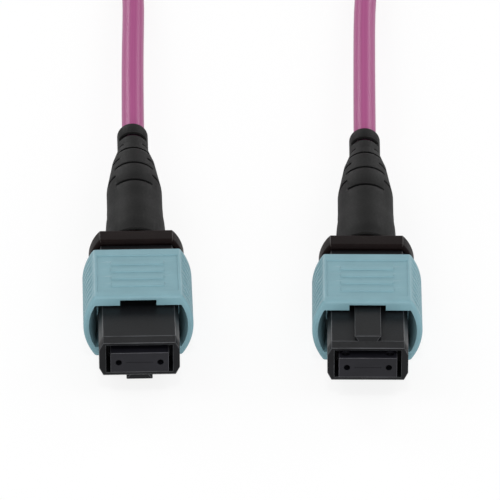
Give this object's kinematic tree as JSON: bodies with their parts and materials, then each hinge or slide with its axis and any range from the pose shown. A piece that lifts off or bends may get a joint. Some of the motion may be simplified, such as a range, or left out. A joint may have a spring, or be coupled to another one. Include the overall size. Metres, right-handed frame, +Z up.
{
  "type": "fibre optic cable",
  "caption": "Fibre optic patch cord: slim violet cable, coiled and tied, with a flat push-pull plug on each end that has a sprung sliding sleeve, a floating ferrule and a slotted boot.",
  "frame": {"origin": "on the floor, under the middle of the box round the two plugs", "axes": "+Z up, +Y from the plugs' noses towards the coil, +X from the plug that lies key down to the one that lies key up"},
  "size_m": [0.0418, 0.1513, 0.0077],
  "materials": {
    "sleeve_plastic": "aqua moulded plastic, satin",
    "housing_plastic": "black moulded plastic, satin",
    "ferrule_compound": "dark glass-filled moulding, polished face",
    "fibre": "clear coated glass fibre",
    "soft_block": "soft grey-black elastomer",
    "keeper_steel": "stamped stainless steel",
    "spring_steel": "drawn stainless wire",
    "body_plastic": "brownish black moulded plastic",
    "crimp_metal": "plain drawn tube",
    "boot_rubber": "black moulded elastomer, matt",
    "jacket": "magenta-violet extruded jacket, satin",
    "tie_strap": "black woven strap"
  },
  "bodies": {
    "cord": {"plug_housing_a": "housing_plastic", "back_body_a": "body_plastic", "crimp_ring_a": "crimp_metal", "strain_boot_a": "boot_rubber", "coupling_springs_a": "spring_steel", "ferrule_spring_a": "spring_steel", "plug_housing_b": "housing_plastic", "back_body_b": "body_plastic", "crimp_ring_b": "crimp_metal", "strain_boot_b": "boot_rubber", "coupling_springs_b": "spring_steel", "ferrule_spring_b": "spring_steel", "cable_lead_a": "jacket", "cable_lead_b": "jacket", "cable_coil": "jacket", "coil_tie": "tie_strap"},
    "coupling_a": {"coupling_sleeve_a": "sleeve_plastic"},
    "ferrule_unit_a": {"ferrule_a": "ferrule_compound", "fibre_ribbon_a": "fibre", "ferrule_boot_a": "soft_block", "pin_keeper_a": "keeper_steel"},
    "coupling_b": {"coupling_sleeve_b": "sleeve_plastic"},
    "ferrule_unit_b": {"ferrule_b": "ferrule_compound", "fibre_ribbon_b": "fibre", "ferrule_boot_b": "soft_block", "pin_keeper_b": "keeper_steel"}
  },
  "joints": [
    {"name": "sleeve_pull_a", "type": "slide", "parent": "cord", "child": "coupling_a", "axis": [-0.03, 0.9995, 0], "range_m": [0, 0.0025], "stiffness_N_per_m": 1000, "deforming": ["coupling_springs_a"]},
    {"name": "ferrule_float_a", "type": "slide", "parent": "cord", "child": "ferrule_unit_a", "axis": [-0.03, 0.9995, 0], "range_m": [0, 0.0008], "stiffness_N_per_m": 3000, "deforming": ["ferrule_spring_a"]},
    {"name": "sleeve_pull_b", "type": "slide", "parent": "cord", "child": "coupling_b", "axis": [0.0061, 1, 0], "range_m": [0, 0.0025], "stiffness_N_per_m": 1000, "deforming": ["coupling_springs_b"]},
    {"name": "ferrule_float_b", "type": "slide", "parent": "cord", "child": "ferrule_unit_b", "axis": [0.0061, 1, 0], "range_m": [0, 0.0008], "stiffness_N_per_m": 3000, "deforming": ["ferrule_spring_b"]}
  ]
}
